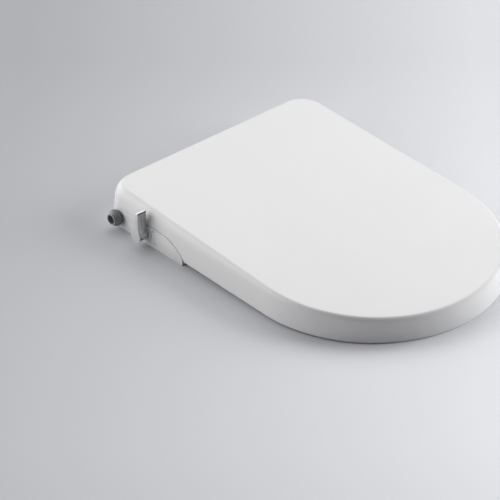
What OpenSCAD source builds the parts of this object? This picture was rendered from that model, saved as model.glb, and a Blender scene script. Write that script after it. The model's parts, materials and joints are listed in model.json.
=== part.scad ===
// Water-powered bidet seat: closed lid, seat ring, rear housing with lever valve and two spray nozzles.
// The origin is midway between the two mounting bolts, on the rim of the bowl.
// +Z is up, the front faces -Y, and the user's right hand is at -X.

/* [Overall size] */
// Width across the lid
seat_w = 360; // [350:1:370]
// Length from the rear face to the front of the lid
seat_l = 492; // [488:1:496]
// Height of the lid's top at the rear
rear_h = 55; // [54:0.5:56]
// Height of the lid's top at the front
front_h = 33.5; // [33:0.5:34.5]
// Distance from the line of the bolts to the rear face
bolt_back = 50; // [49:0.5:51]

/* [Lid] */
// Wall of the lid
lid_t = 3; // [2.6:0.2:3]
// Gap along the seam between the lid and the housing
seam_gap = 0.8; // [0.6:0.1:1]

/* [Housing] */
// Height of the seam on the housing's side
seam_z = 28.5; // [28:0.1:28.8]
// Radius of the curve that takes the seam down to the cheek's front end
seam_r = 61; // [58:1:64]
// Outer radius of the housing's rear corners
corner_r = 30; // [29:0.5:31]

/* [Controls] */
// Distance of the lever's axis in front of the bolt line
lever_back = 32; // [30:0.5:33]
// Height of the lever's axis
lever_z = 16.5; // [16:0.1:16.8]
// Height of the lever above its axis
lever_reach = 35.5; // [32:0.5:37]
// Distance of the water inlet behind the bolt line
inlet_y = 20; // [19:0.5:20.5]
// Height of the water inlet
inlet_z = 16; // [15.5:0.5:16.5]

/* [Mounting] */
// Spacing of the bolts through the bowl
bolt_spacing = 140; // [130:5:145]
// Radius of a bolt slot
slot_r = 4.5; // [4:0.25:4.75]
// Length of a bolt slot from end to end
slot_l = 32; // [28:1:34]

/* [Nozzles] */
// Downward tilt of the two nozzles
nozzle_tilt = 20; // [19:0.5:20.5]
// Distance between the two nozzles
nozzle_pitch = 22; // [21:0.5:23]

/* [Hidden] */
$fn = 64;

white = [0.93, 0.93, 0.94];
chrome = [0.8, 0.81, 0.83];
dark = [0.2, 0.21, 0.23];
grey = [0.6, 0.61, 0.63];
rubber = [0.3, 0.3, 0.31];
steel = [0.7, 0.7, 0.72];

// Overall form
hw = seat_w / 2;
rear_y = bolt_back;
front_y = rear_y - seat_l;
arc_y = front_y + hw;
slope = (rear_h - front_h) / seat_l;
levels = 9;
cheek_y = -106;
arc_start = -62;
notch_l = 7;
skirt_front_z = 0.5;
skirt_rear_z = 6.5;

// Hinge line
hinge_y = 37;
hinge_z = 40;
eye_r = 8;
shaft_r = 4;
fit = 0.05;
barrel_r = 8;
damper_r = 6;
barrel_end = 118;
arm_in = 118.8;
arm_out = 136;
lug_in = 136.8;
lug_out = 148;
scoop_r = norm([rear_y - hinge_y, hinge_z - seam_z - seam_gap]) + 1;
scoop_end_r = 12;
scoop_mid = 158;
scoop_end = 176.5;

// Housing
wall = 3;
floor_t = 2.5;
bowl_y = -215;
bowl_r = 150;
cover_in = 8.3;
cover_t = 2.5;
button_z = 15;
latch_x = 97;
deck_z = 24;
hump_gap = 6.5;
hump_x = 117;
pod_in = 138;
pod_z = 38;
post_x = 128;
post_ys = [-55, 18];
recess_x = 106;
recess_y = -29;
recess_z = 9;
plate_x = 104;
plate_front = -27;
plate_back = 31;
pad_places = [[-150, -85], [150, -85], [-153, 8], [153, 8]];

// Controls and water inlet
lever_out = 196;
lever_in = hw + 1.2;
hub_r = 9;
lever_tip_r = 2.7;
nut_out = 194;
nut_in = 183;
nut_r = 11;
mouth_r = 6.5;
thread_r = 8;
elbow_x = 163;
valve_ports = [-6, 6];
port_drop = 2.5;

// Seat
seat_in = 8;
seat_rear = -111;
seat_z = 8;
seat_gap = 6.5;
seat_t = 3;

// Nozzles: distances along the nozzle's axis from its tip
tip_y = -64;
tip_z = 8.5;
nozzle_r = 4.5;
nozzle_l = 72;
piston_r = 6.9;
chamber_r = 7;
stop_s = 14;
cradle_l = 76;

function top_z(y) = front_h + (y - front_y) * slope;
function seat_top(y) = top_z(y) - seat_gap;

// Inset of the wall at height fraction f: a steady draft, then a crown that rolls over to the top
function inset(f, draft, crown, power) = draft * f + crown * (1 - sqrt(1 - pow(f, power)));
function side_inset(f) = inset(f, 0, 14.5, 4.5);
function front_inset(f) = inset(f, 3.6, 5.5, 12);
function back_inset(f) = inset(f, 1.2, 7.5, 10);

// Thin disc that lies on the plane at height fraction f, under a top lowered by drop
module level_disc(x, y, r, f, drop) {
    translate([x, y, f * (top_z(y) - drop)])
        rotate([atan(f * slope), 0, 0])
            cylinder(r = r, h = 0.01);
}

// The lid's outer form, shrunk by t all round
module form(t) {
    hull() {
        for (k = [0:levels]) {
            f = sin(90 * k / levels);
            r = corner_r - 0.15 * side_inset(f);
            corner_y = rear_y - back_inset(f) - r;
            for (side = [-1, 1])
                level_disc(side * (hw - side_inset(f) - r), corner_y, r - t, f, t, $fn = 32);
            level_disc(0, arc_y, hw - front_inset(f) - t, f, t, $fn = 72);
        }
    }
}

// Outline of the housing on the floor, shrunk by t
module footprint(t) {
    difference() {
        union() {
            translate([-hw + t, cheek_y + t])
                square([2 * (hw - t), rear_y - corner_r - cheek_y - t]);
            translate([-hw + corner_r, cheek_y + t])
                square([2 * (hw - corner_r), rear_y - t - cheek_y - t]);
            for (side = [-1, 1])
                translate([side * (hw - corner_r), rear_y - corner_r])
                    circle(corner_r - t);
        }
        translate([0, bowl_y])
            circle(bowl_r + t);
    }
}

// Side view of the housing's cheek, grown by g, its curve carried on past the front end by reach
module cheek_profile(g, reach) {
    translate([arc_start, -1])
        square([rear_y + 5 - arc_start, seam_z + 1 + g]);
    intersection() {
        translate([arc_start, seam_z - seam_r])
            circle(seam_r + g, $fn = 128);
        translate([cheek_y - reach, -1])
            square([arc_start - cheek_y + reach + 0.01, seam_z + 5]);
    }
}

// Turns a side view (y, z) into a bar across the object from x0 to x1
module across(x0, x1) {
    translate([x0, 0, 0])
        rotate([90, 0, 90])
            linear_extrude(x1 - x0)
                children();
}

// Cylinder along X from x0 to x1
module rod(r, x0, x1, y = 0, z = 0) {
    translate([x0, y, z])
        rotate([0, 90, 0])
            cylinder(r = r, h = x1 - x0);
}

module mirrored() {
    for (side = [0, 1])
        mirror([side, 0, 0])
            children();
}

// Space that the lid's rear skirt sweeps about the hinge line, grown by g
module scoop(g) {
    translate([0, hinge_y, hinge_z])
        rotate([0, 90, 0])
            rotate_extrude()
                polygon([[0, -scoop_end - g], [scoop_end_r + g, -scoop_end - g], [scoop_r + g, -scoop_mid],
                    [scoop_r + g, scoop_mid], [scoop_end_r + g, scoop_end + g], [0, scoop_end + g]]);
}

// Frame along a nozzle: +X stays, +Y runs back along the nozzle and +Z square to it
module along_nozzle() {
    translate([0, tip_y, tip_z])
        rotate([nozzle_tilt, 0, 0])
            children();
}
module nozzle_rod(r, s0, s1) {
    translate([0, s0, 0])
        rotate([-90, 0, 0])
            cylinder(r = r, h = s1 - s0);
}

// Tube swept along a route by rings that stand square to it
function unit(v) = v / norm(v);
function heading(p, i) = unit(p[min(i + 1, len(p) - 1)] - p[max(i - 1, 0)]);
function smooth(p, per) = concat(
    [for (i = [0:len(p) - 2], j = [0:per - 1])
        let (t = j / per, a = p[max(i - 1, 0)], b = p[i], c = p[i + 1], d = p[min(i + 2, len(p) - 1)])
        0.5 * (2 * b + (c - a) * t + (2 * a - 5 * b + 4 * c - d) * t * t
            + (3 * b - a - 3 * c + d) * t * t * t)],
    [p[len(p) - 1]]);
module tube(p, r, sides, up = [0.1, 0.2, 1]) {
    n = len(p);
    rings = [for (i = [0:n - 1])
        let (h = heading(p, i), u = unit(cross(h, up)), v = cross(h, u))
        for (k = [0:sides - 1]) p[i] + r * (cos(360 * k / sides) * u + sin(360 * k / sides) * v)];
    skin = [for (i = [0:n - 2], k = [0:sides - 1])
        let (m = (k + 1) % sides)
        each [[i * sides + k, (i + 1) * sides + m, i * sides + m],
            [i * sides + k, (i + 1) * sides + k, (i + 1) * sides + m]]];
    polyhedron(rings, concat(skin, [[for (k = [0:sides - 1]) k]],
        [[for (k = [sides - 1:-1:0]) (n - 1) * sides + k]]));
}
module coil(r, wire, length, turns) {
    steps = 10;
    rise = (length - 2 * wire) / (turns * steps);
    tube([for (i = [0:turns * steps])
        [r * cos(360 * i / steps), r * sin(360 * i / steps), wire + rise * i]],
        wire, 5, up = [0, 0, 1]);
}

module plate_rails(gap) {
    across(-plate_x - gap, plate_x + gap)
        translate([plate_front - gap, 4 - gap])
            square([plate_back - plate_front + 2 * gap, 4 + 2 * gap]);
}

module base_tray() {
    color(white) {
        tray_shell();
        // Rib behind the release button's spring
        difference() {
            translate([164.5, -6, 14])
                cube([5.2, 12, deck_z - 14]);
            translate([167, -7, 10])
                cube([5, 14, deck_z - 12.5]);
        }
    }
}

module tray_shell() {
    difference() {
        intersection() {
            linear_extrude(seam_z)
                footprint(0);
            across(-hw, hw)
                cheek_profile(0, 0);
        }
        // Room inside, under the ledge that carries the cover
        translate([0, 0, floor_t])
            linear_extrude(deck_z - 2.5 - floor_t)
                intersection() {
                    footprint(wall);
                    translate([-hw, arc_start + 7])
                        square([2 * hw, 200]);
                }
        translate([0, 0, floor_t])
            linear_extrude(seam_z)
                difference() {
                    footprint(cover_in + cover_t);
                    translate([-recess_x - 3, recess_y - 2])
                        square([2 * recess_x + 6, 200]);
                }
        translate([0, 0, recess_z + 2])
            linear_extrude(seam_z)
                footprint(cover_in + cover_t);
        // Gutter above the ledge
        translate([0, 0, deck_z])
            linear_extrude(seam_z)
                footprint(wall);
        // Recess for the mounting plate, with lips under its flanges
        translate([-recess_x, recess_y, 3.6])
            cube([2 * recess_x, rear_y - recess_y + 1, recess_z - 3.6]);
        translate([-99.6, recess_y, -1])
            cube([199.2, rear_y - recess_y + 2, 6]);
        scoop(0);
        // Window for the nozzles and notch for the gate's lugs
        translate([-22.5, -80, -1])
            cube([45, 30.5, 40]);
        translate([-31, -80, 22])
            cube([62, 30, 20]);
        // Lever spindle, water inlet, release button and its tooth
        rod(5, -hw - 1, -hw + 20, -lever_back, lever_z);
        rod(11.3, -hw + wall, -hw + 20, -lever_back, lever_z);
        rod(thread_r + 0.1, -hw - 1, -hw + 20, inlet_y, inlet_z);
        rod(10, -hw + wall, -hw + 20, inlet_y, inlet_z);
        translate([hw - 20, 0, button_z])
            button_bar(21, 9.4, 5.4);
        translate([latch_x - 4.5, -3.5, recess_z - 1])
            cube([9.1, 7, 8]);
        for (x = [-post_x, post_x], y = post_ys)
            translate([x, y, -1]) {
                cylinder(r = 1.8, h = 5);
                cylinder(r = 4, h = 2.2);
            }
        for (p = pad_places)
            translate([p[0], p[1], -1])
                cylinder(r = 9.1, h = 2.4);
    }
}

module cover_block(x0, x1, top) {
    intersection() {
        linear_extrude(60)
            footprint(cover_in);
        across(x0, x1)
            polygon(top);
    }
}

// Side view of the hump, lowered by t
function hump_side(t) = [[-90, deck_z - t], [-90, 38 - t], [-72, top_z(-72) - hump_gap - t],
    [hinge_y, top_z(hinge_y) - hump_gap - t], [hinge_y, deck_z - t]];
function pod_side(t) = [[-110, deck_z - t], [-110, 32 - t], [-85, pod_z - t], [10, pod_z - t],
    [22, 32 - t], [22, deck_z - t]];

module top_cover() {
    color(white)
    difference() {
        union() {
            difference() {
                union() {
                    translate([0, 0, deck_z])
                        linear_extrude(cover_t)
                            footprint(cover_in);
                    cover_block(-hump_x, hump_x, hump_side(0));
                    cover_block(pod_in, hw, pod_side(0));
                    cover_block(-hw, -pod_in, pod_side(0));
                }
                difference() {
                    intersection() {
                        translate([0, 0, -1])
                            linear_extrude(60)
                                footprint(cover_in + cover_t);
                        union() {
                            across(-hump_x + cover_t, hump_x - cover_t)
                                polygon(hump_side(cover_t));
                            across(pod_in + cover_t, hw)
                                polygon(pod_side(cover_t));
                            across(-hw, -pod_in - cover_t)
                                polygon(pod_side(cover_t));
                        }
                    }
                    scoop(cover_t);
                }
                scoop(0);
            }
            // Trough under the hinge line
            difference() {
                intersection() {
                    scoop(cover_t);
                    translate([0, 0, 12])
                        linear_extrude(deck_z + 0.1 - 12)
                            footprint(cover_in + cover_t);
                }
                scoop(0);
            }
            // Neck and barrel that carry the two dampers
            across(-hump_x, hump_x)
                polygon([[17, hinge_z - 4.5], [hinge_y, hinge_z - 4.5],
                    [hinge_y, hinge_z + barrel_r - 0.5], [17, hinge_z + barrel_r - 1.2]]);
            rod(barrel_r, -barrel_end, barrel_end, hinge_y, hinge_z);
            for (x = [-post_x, post_x], y = post_ys)
                translate([x, y, floor_t])
                    cylinder(r = 4, h = deck_z + 1 - floor_t);
            // Lugs of the nozzle gate
            for (x = [-29, 25])
                translate([x, -73, 24])
                    cube([4, 18, 6]);
        }
        for (x = [-post_x, post_x], y = post_ys)
            translate([x, y, floor_t - 1])
                cylinder(r = 1.5, h = 17);
        rod(damper_r + fit, 50, barrel_end + 1, hinge_y, hinge_z);
        rod(damper_r + fit, -barrel_end - 1, -50, hinge_y, hinge_z);
        rod(1.5 + fit, -30, 30, -70.5, 27);
        // Room for the valve and the inlet in the right-hand pod
        rod(11.3, -hw, -160, -lever_back, lever_z);
        rod(10, -hw, -160, inlet_y, inlet_z);
    }
}

module cover_screws() {
    color(steel)
    for (x = [-post_x, post_x], y = post_ys)
        translate([x, y, 0])
            difference() {
                union() {
                    translate([0, 0, 0.2])
                        cylinder(r = 3.5, h = 1);
                    translate([0, 0, 0.3])
                        cylinder(r = 1.45, h = 14);
                }
                translate([0, 0, 0.1])
                    cube([4.2, 0.8, 1], center = true);
                translate([0, 0, 0.1])
                    cube([0.8, 4.2, 1], center = true);
            }
}

module base_pads() {
    color(rubber)
    for (p = pad_places)
        translate([p[0], p[1], 0])
            cylinder(r = 9, h = 1.4);
}

module mounting_plate() {
    color(white)
    difference() {
        union() {
            plate_rails(0);
            translate([-99, plate_front, 1])
                cube([198, plate_back - plate_front, 4]);
        }
        for (x = [-bolt_spacing / 2, bolt_spacing / 2])
            translate([x, 0, 0]) {
                slot(slot_r, slot_l, -1, 10);
                slot(9, slot_l + 9, 4, 10);
            }
        // Notch that the latch tooth drops into, and the groove it is pushed to
        translate([latch_x - 1, -4, 3.8])
            cube([6, 8, 6]);
        translate([latch_x - 5.5, plate_front - 1, 3.8])
            cube([5.8, 31, 6]);
        for (x = [-40, 40])
            translate([x, 0, 0])
                cylinder(r = 8.1, h = 2);
    }
}

module slot(r, length, z0, z1) {
    translate([0, 0, z0])
        linear_extrude(z1 - z0)
            union() {
                translate([-length / 2 + r, -r])
                    square([length - 2 * r, 2 * r]);
                for (side = [-1, 1])
                    translate([side * (length / 2 - r), 0])
                        circle(r);
            }
}

module plate_pads() {
    color(rubber)
    for (x = [-40, 40])
        translate([x, 0, 0])
            cylinder(r = 8, h = 2);
}

// Stadium-ended bar along X, w by h in section
module button_bar(length, w, h) {
    rotate([90, 0, 90])
        linear_extrude(length)
            union() {
                square([2 * (w - h), 2 * h], center = true);
                for (side = [-1, 1])
                    translate([side * (w - h), 0])
                        circle(h);
            }
}

module release_button() {
    color(grey) {
        difference() {
            union() {
                translate([174, 0, button_z])
                    button_bar(10, 9, 5);
                translate([latch_x - 1.5, -4.5, 11.4])
                    cube([174.5 - latch_x + 1.5, 9, 2]);
                translate([latch_x, -3, 5])
                    cube([4, 6, 8]);
            }
            rod(2.7, 173, 178.4, 0, 16.5);
        }
    }
}

module release_spring() {
    color(steel)
    translate([167.2, 0, 16.5])
        rotate([0, 90, 0])
            coil(2.1, 0.35, 11, 6);
}

module inlet_fitting() {
    color(dark)
    difference() {
        union() {
            rod(thread_r, -nut_in - 3, -172, inlet_y, inlet_z);
            rod(5.4, -nut_in - 4, -172, inlet_y, inlet_z);
            rod(9.5, -hw + wall + 3.2, -hw + wall + 6, inlet_y, inlet_z);
            rod(6.8, -173, 6 - elbow_x, inlet_y, inlet_z);
            translate([-elbow_x, inlet_y - 5.5, inlet_z])
                rotate([90, 0, 0])
                    cylinder(r = 4, h = 4.5);
        }
        rod(3.5, -nut_in - 5, 1 - elbow_x, inlet_y, inlet_z);
        translate([-elbow_x, inlet_y, inlet_z])
            rotate([90, 0, 0])
                cylinder(r = 2.4, h = 12);
    }
}

module inlet_nut() {
    ribs = 24;
    length = nut_out - nut_in;
    color(dark)
    difference() {
        union() {
            translate([-nut_in, inlet_y, inlet_z])
                rotate([0, -90, 0])
                    rotate_extrude($fn = 72)
                        polygon([[0, 0], [nut_r - 0.5, 0], [nut_r, 0.6], [nut_r, 4], [7.8, length - 0.4],
                            [7.4, length], [0, length]]);
            for (k = [0:ribs - 1])
                translate([-nut_in - 5.1, inlet_y, inlet_z])
                    rotate([360 * k / ribs, 0, 0])
                        translate([0, -0.6, nut_r - 2])
                            cube([4.1, 1.2, 2.4]);
        }
        rod(mouth_r, -nut_out - 1, -nut_in - 4.2, inlet_y, inlet_z);
        rod(5.6, -nut_in - 5, -nut_in - 2, inlet_y, inlet_z);
        rod(thread_r + fit, -nut_in - 3, -nut_in + 1, inlet_y, inlet_z);
    }
}

module inlet_seal() {
    color(rubber)
    difference() {
        rod(9.5, -hw + wall, -hw + wall + 3.2, inlet_y, inlet_z);
        rod(thread_r, -hw, -hw + wall + 4, inlet_y, inlet_z);
    }
}

module inlet_filter() {
    color(steel)
    difference() {
        rod(3.3, -nut_in, -171, inlet_y, inlet_z);
        rod(2.7, -nut_in - 1, -172, inlet_y, inlet_z);
    }
}

module supply_hose() {
    color(grey)
    translate([-elbow_x, inlet_y - 10, inlet_z])
        rotate([90, 0, 0])
            cylinder(r = 4.2, h = inlet_y - 10 + lever_back - 14);
}

module valve_body() {
    color(dark)
    translate([0, -lever_back, lever_z])
        difference() {
            union() {
                rod(11, -176, -146);
                translate([-elbow_x, 14, inlet_z - lever_z])
                    rotate([90, 0, 0])
                        cylinder(r = 5, h = 10);
                for (y = valve_ports)
                    rod(3, -146, -142, y, -port_drop);
            }
            rod(shaft_r + fit, -180, -150);
            rod(8, -157, -149);
            translate([-elbow_x, 15, inlet_z - lever_z])
                rotate([90, 0, 0])
                    cylinder(r = 2.5, h = 11);
            for (y = valve_ports)
                rod(1.6, -150, -140, y, -port_drop);
        }
}

module valve_spindle() {
    color(steel)
    difference() {
        union() {
            rod(shaft_r, -193, -150, -lever_back, lever_z);
            rod(7.9, -156, -152, -lever_back, lever_z);
        }
        difference() {
            rod(shaft_r + 1, -172, -169.6, -lever_back, lever_z);
            rod(shaft_r - 1, -173, -169, -lever_back, lever_z);
        }
    }
}

module spindle_seal() {
    color(rubber)
    translate([-170.8, -lever_back, lever_z])
        rotate([0, 90, 0])
            rotate_extrude()
                translate([shaft_r - 0.5, 0])
                    circle(0.45, $fn = 24);
}

module lever_bezel() {
    color(white)
    difference() {
        rod(13, -hw - 0.9, -hw, -lever_back, lever_z);
        rod(5, -hw - 2, -hw + 1, -lever_back, lever_z);
    }
}

// Half thickness and forward lean of the lever's blade at fraction u of its reach
foot = 20;
function blade_half(u) = (lever_tip_r + (hub_r - lever_tip_r) * pow(1 - u, 2)) * cos(foot * (1 - u));
function blade_lean(u) = 3 * pow(u, 1.5);
module control_lever() {
    steps = 12;
    tip = lever_reach - lever_tip_r;
    front = [for (k = [0:steps]) let (u = k / steps) [-blade_lean(u) - blade_half(u), u * tip]];
    back = [for (k = [steps:-1:0]) let (u = k / steps) [-blade_lean(u) + blade_half(u), u * tip]];
    color(chrome)
    difference() {
        union() {
            rod(hub_r, -lever_out, -lever_in, -lever_back, lever_z);
            translate([0, -lever_back, lever_z])
                across(-lever_out, -lever_in)
                    polygon(concat(front, back));
            rod(lever_tip_r, -lever_out, -lever_in, -lever_back - blade_lean(1), lever_z + tip);
        }
        rod(shaft_r + 0.02, -lever_out + 2.8, -hw, -lever_back, lever_z);
    }
}

port_s = 70;
port_y = tip_y + port_s * cos(nozzle_tilt);
port_z = tip_z + port_s * sin(nozzle_tilt);
module rear_wash_hose() {
    color(grey)
    tube(smooth([[-25.3, port_y, port_z], [-34, port_y, port_z], [-46, -2, 27], [-58, -12, 18],
        [-74, -20, 14.5], [-105, -32, 14], [-132, -38, 14], [-141.6, -38, 14]], 3), 2.6, 8);
}
module front_wash_hose() {
    color(grey)
    tube(smooth([[25.3, port_y, port_z], [32, port_y, port_z], [38, 5, 29], [32, 12, 22],
        [12, 13, 18], [-20, 13, 16], [-60, 4, 14.5], [-100, -16, 14], [-130, -26, 14],
        [-141.6, -26, 14]], 3), 2.6, 8);
}

module nozzle_cradle() {
    color(white)
    along_nozzle()
        difference() {
            union() {
                translate([-21, 4, -8.6])
                    cube([42, cradle_l - 4, 16.8]);
                rod(2.3, -24.9, -20, port_s, 0);
                rod(2.3, 20, 24.9, port_s, 0);
            }
            for (x = [-nozzle_pitch / 2, nozzle_pitch / 2])
                translate([x, 0, 0]) {
                    nozzle_rod(nozzle_r + fit, 0, stop_s + 1);
                    nozzle_rod(chamber_r, stop_s, cradle_l - 2.5);
                }
            rod(1.4, -26, -nozzle_pitch / 2, port_s + 0.5, 0);
            rod(1.4, nozzle_pitch / 2, 26, port_s + 0.5, 0);
        }
}

module nozzle(x) {
    along_nozzle()
        translate([x, 0, 0])
            difference() {
                union() {
                    sphere(r = nozzle_r);
                    nozzle_rod(nozzle_r, 0, nozzle_l);
                    nozzle_rod(piston_r, nozzle_l - 6, nozzle_l);
                }
                nozzle_rod(2.2, 6, nozzle_l + 1);
                for (k = [-1:1])
                    translate([k * 1.4, 3 + k * k * 0.8, 0])
                        cylinder(r = 0.4, h = 6);
                translate([0, 3.2, 0])
                    cylinder(r = 1.2, h = 3);
                translate([0, 3.2, 0])
                    nozzle_rod(1.2, 0, 4);
            }
}
module rear_nozzle() {
    color(steel)
        nozzle(-nozzle_pitch / 2);
}
module front_nozzle() {
    color(steel)
        nozzle(nozzle_pitch / 2);
}

module nozzle_spring(x) {
    along_nozzle()
        translate([x, stop_s + 0.4, 0])
            rotate([-90, 0, 0])
                coil(5.75, 0.6, nozzle_l - 6.8 - stop_s, 8);
}
module rear_nozzle_spring() {
    color(steel)
        nozzle_spring(-nozzle_pitch / 2);
}
module front_nozzle_spring() {
    color(steel)
        nozzle_spring(nozzle_pitch / 2);
}

module nozzle_gate() {
    color(white) {
        translate([-24, -71.5, 12.2])
            cube([48, 2, 14.8]);
        rod(1.5, -28.5, 28.5, -70.5, 27);
    }
}

// Rotary damper: case in the housing's barrel, shaft out of its end
module damper(side) {
    mirror([side < 0 ? 1 : 0, 0, 0])
        difference() {
            rod(damper_r, 52, barrel_end - 0.5, hinge_y, hinge_z);
            rod(shaft_r + fit, 100, barrel_end, hinge_y, hinge_z);
            rod(5, 60, 100.1, hinge_y, hinge_z);
        }
}
module hinge_shaft(side) {
    mirror([side < 0 ? 1 : 0, 0, 0])
        difference() {
            union() {
                rod(4.8, 61, 99, hinge_y, hinge_z);
                rod(shaft_r, 98, lug_out + 4, hinge_y, hinge_z);
            }
            // Groove for the clip
            difference() {
                rod(shaft_r + 1, lug_out + 1.4, lug_out + 2.6, hinge_y, hinge_z);
                rod(shaft_r - 0.8, lug_out + 1, lug_out + 3, hinge_y, hinge_z);
            }
        }
}
module seat_damper() {
    color(grey)
        damper(1);
}
module lid_damper() {
    color(grey)
        damper(-1);
}
module seat_hinge_shaft() {
    color(steel)
        hinge_shaft(1);
}
module lid_hinge_shaft() {
    color(steel)
        hinge_shaft(-1);
}
// Spring clip in the groove of a hinge shaft
module shaft_clip(side) {
    mirror([side < 0 ? 1 : 0, 0, 0])
        difference() {
            rod(6, lug_out + 1.5, lug_out + 2.5, hinge_y, hinge_z);
            rod(shaft_r - 0.75, lug_out + 1, lug_out + 3, hinge_y, hinge_z);
            translate([lug_out + 1, hinge_y - 2.4, hinge_z - 8])
                cube([2, 4.8, 8]);
        }
}
module seat_shaft_clip() {
    color(steel)
        shaft_clip(1);
}
module lid_shaft_clip() {
    color(steel)
        shaft_clip(-1);
}

// Thin disc on the seat at height fraction f; on the middle line it keeps its front half only
module seat_disc(x, y, r, f, t) {
    translate([x, y, seat_z - 0.5 + f * (seat_top(y) - t - seat_z + 0.5)])
        rotate([atan(f * slope), 0, 0])
            difference() {
                cylinder(r = r, h = 0.01);
                if (x == 0)
                    translate([-r, 0, -1])
                        cube([2 * r, r, 2]);
            }
}
// The seat's outer form, shrunk by t all round
module seat_form(t) {
    steps = 6;
    corner = 20;
    hull() {
        for (k = [0:steps]) {
            f = sin(90 * k / steps);
            shrink = seat_in + t + inset(f, 2, 13, 6);
            corner_y = seat_rear - corner - t - inset(f, 1, 6, 6);
            for (side = [-1, 1])
                seat_disc(side * (hw - shrink - corner), corner_y, corner, f, t, $fn = 32);
            seat_disc(0, arc_y, hw - shrink, f, t, $fn = 64);
        }
    }
}
// The opening over the bowl, shrunk by t, from z0 to z1
module seat_hole(t, z0, z1, flare = 0) {
    hull() {
        translate([0, -236, z0])
            cylinder(r1 = 98 - t, r2 = 98 - t + flare, h = z1 - z0);
        translate([0, -268, z0])
            cylinder(r1 = 102 - t, r2 = 102 - t + flare, h = z1 - z0);
    }
}

module arm_profile() {
    translate([hinge_y, hinge_z])
        circle(eye_r);
    polygon([[hinge_y, hinge_z + eye_r], [-126, seat_top(-126) - 2], [-126, 28.5], [10, 29],
        [26, hinge_z - eye_r + 2.5], [hinge_y, hinge_z - eye_r]]);
}

module seat_ring() {
    color(white)
    difference() {
        union() {
            difference() {
                intersection() {
                    seat_form(0);
                    translate([-200, -500, seat_z])
                        cube([400, 500, 60]);
                }
                difference() {
                    seat_form(seat_t);
                    seat_hole(-seat_t, 0, 60);
                    seat_hole(-seat_t, 24, 44, 12);
                }
                seat_hole(0, 0, 60);
                seat_hole(0, 24, 44, 12);
            }
            mirrored()
                across(arm_in, arm_out)
                    arm_profile();
        }
        rod(shaft_r + 0.02, arm_in - 1, arm_out + 1, hinge_y, hinge_z);
        rod(shaft_r + fit, -arm_out - 1, -arm_in + 1, hinge_y, hinge_z);
    }
}

module seat_underside() {
    color(white)
    difference() {
        intersection() {
            seat_form(seat_t + 0.3);
            translate([-200, -500, seat_z])
                cube([400, 500, 2.4]);
        }
        seat_hole(-seat_t - 0.3, 0, 60);
    }
}

seat_bumper_places = [[-132, -330], [132, -330], [-138, -190], [138, -190]];
lid_bumper_places = [[-120, -330], [120, -330], [-138, -190], [138, -190]];
module seat_bumpers() {
    color(rubber)
    for (p = seat_bumper_places)
        translate([p[0], p[1], 0])
            union() {
                cylinder(r1 = 7, r2 = 8, h = 2);
                translate([0, 0, 2])
                    cylinder(r = 8, h = seat_z - 2);
            }
}

module lid() {
    color(white)
    difference() {
        union() {
            difference() {
                form(0);
                form(lid_t);
                across(-hw - 5, hw + 5)
                    cheek_profile(seam_gap, notch_l);
                across(-hw - 5, hw + 5)
                    polygon([[front_y - 5, -5], [front_y - 5, skirt_front_z], [cheek_y, skirt_rear_z],
                        [cheek_y, -5]]);
            }
            mirrored()
                across(lug_in, lug_out) {
                    translate([hinge_y, hinge_z])
                        circle(eye_r);
                    translate([hinge_y - eye_r, hinge_z])
                        square([2 * eye_r, top_z(hinge_y - eye_r) - lid_t + 0.6 - hinge_z]);
                }
        }
        rod(shaft_r + 0.02, -lug_out - 1, -lug_in + 1, hinge_y, hinge_z);
        rod(shaft_r + fit, lug_in - 1, lug_out + 1, hinge_y, hinge_z);
    }
}

module lid_bumpers() {
    color(rubber)
    for (p = lid_bumper_places)
        translate([p[0], p[1], seat_top(p[1]) + 0.25])
            rotate([atan(slope), 0, 0])
                cylinder(r = 6, h = seat_gap - lid_t - 0.3);
}

base_tray();
top_cover();
cover_screws();
base_pads();
mounting_plate();
plate_pads();
release_button();
release_spring();
inlet_fitting();
inlet_nut();
inlet_seal();
inlet_filter();
supply_hose();
valve_body();
valve_spindle();
spindle_seal();
lever_bezel();
control_lever();
rear_wash_hose();
front_wash_hose();
nozzle_cradle();
rear_nozzle();
front_nozzle();
rear_nozzle_spring();
front_nozzle_spring();
nozzle_gate();
seat_damper();
seat_hinge_shaft();
lid_damper();
lid_hinge_shaft();
seat_shaft_clip();
lid_shaft_clip();
seat_ring();
seat_underside();
seat_bumpers();
lid();
lid_bumpers();
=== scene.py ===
import json
import math

import bmesh
import bpy
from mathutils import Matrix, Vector


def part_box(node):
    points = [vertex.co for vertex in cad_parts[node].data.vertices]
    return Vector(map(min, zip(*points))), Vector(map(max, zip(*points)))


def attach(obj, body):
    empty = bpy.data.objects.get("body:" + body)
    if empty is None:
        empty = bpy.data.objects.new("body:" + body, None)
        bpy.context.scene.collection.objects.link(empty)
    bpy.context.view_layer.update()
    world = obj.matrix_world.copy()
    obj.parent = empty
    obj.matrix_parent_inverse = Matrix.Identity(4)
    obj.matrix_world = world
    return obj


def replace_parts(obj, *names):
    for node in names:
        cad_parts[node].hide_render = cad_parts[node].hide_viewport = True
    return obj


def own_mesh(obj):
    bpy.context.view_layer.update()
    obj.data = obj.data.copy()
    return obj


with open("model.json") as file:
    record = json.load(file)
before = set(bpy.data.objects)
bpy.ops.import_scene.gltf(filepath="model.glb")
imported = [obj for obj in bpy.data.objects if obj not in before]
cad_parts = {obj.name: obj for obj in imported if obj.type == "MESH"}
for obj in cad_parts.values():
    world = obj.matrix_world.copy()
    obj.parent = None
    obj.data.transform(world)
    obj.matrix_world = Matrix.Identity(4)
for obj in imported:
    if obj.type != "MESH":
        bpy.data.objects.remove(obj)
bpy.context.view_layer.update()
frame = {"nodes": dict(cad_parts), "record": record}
nodes = frame["nodes"]
bodies = frame["record"]["behaviour"]["bodies"]
BODY_OF = {name: body for body, names in bodies.items() for name in names}

MM = 0.001
WELD = 2e-6  # metres; corners of the CAD mesh closer than this are one point

# ---------------------------------------------------------------- camera

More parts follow.
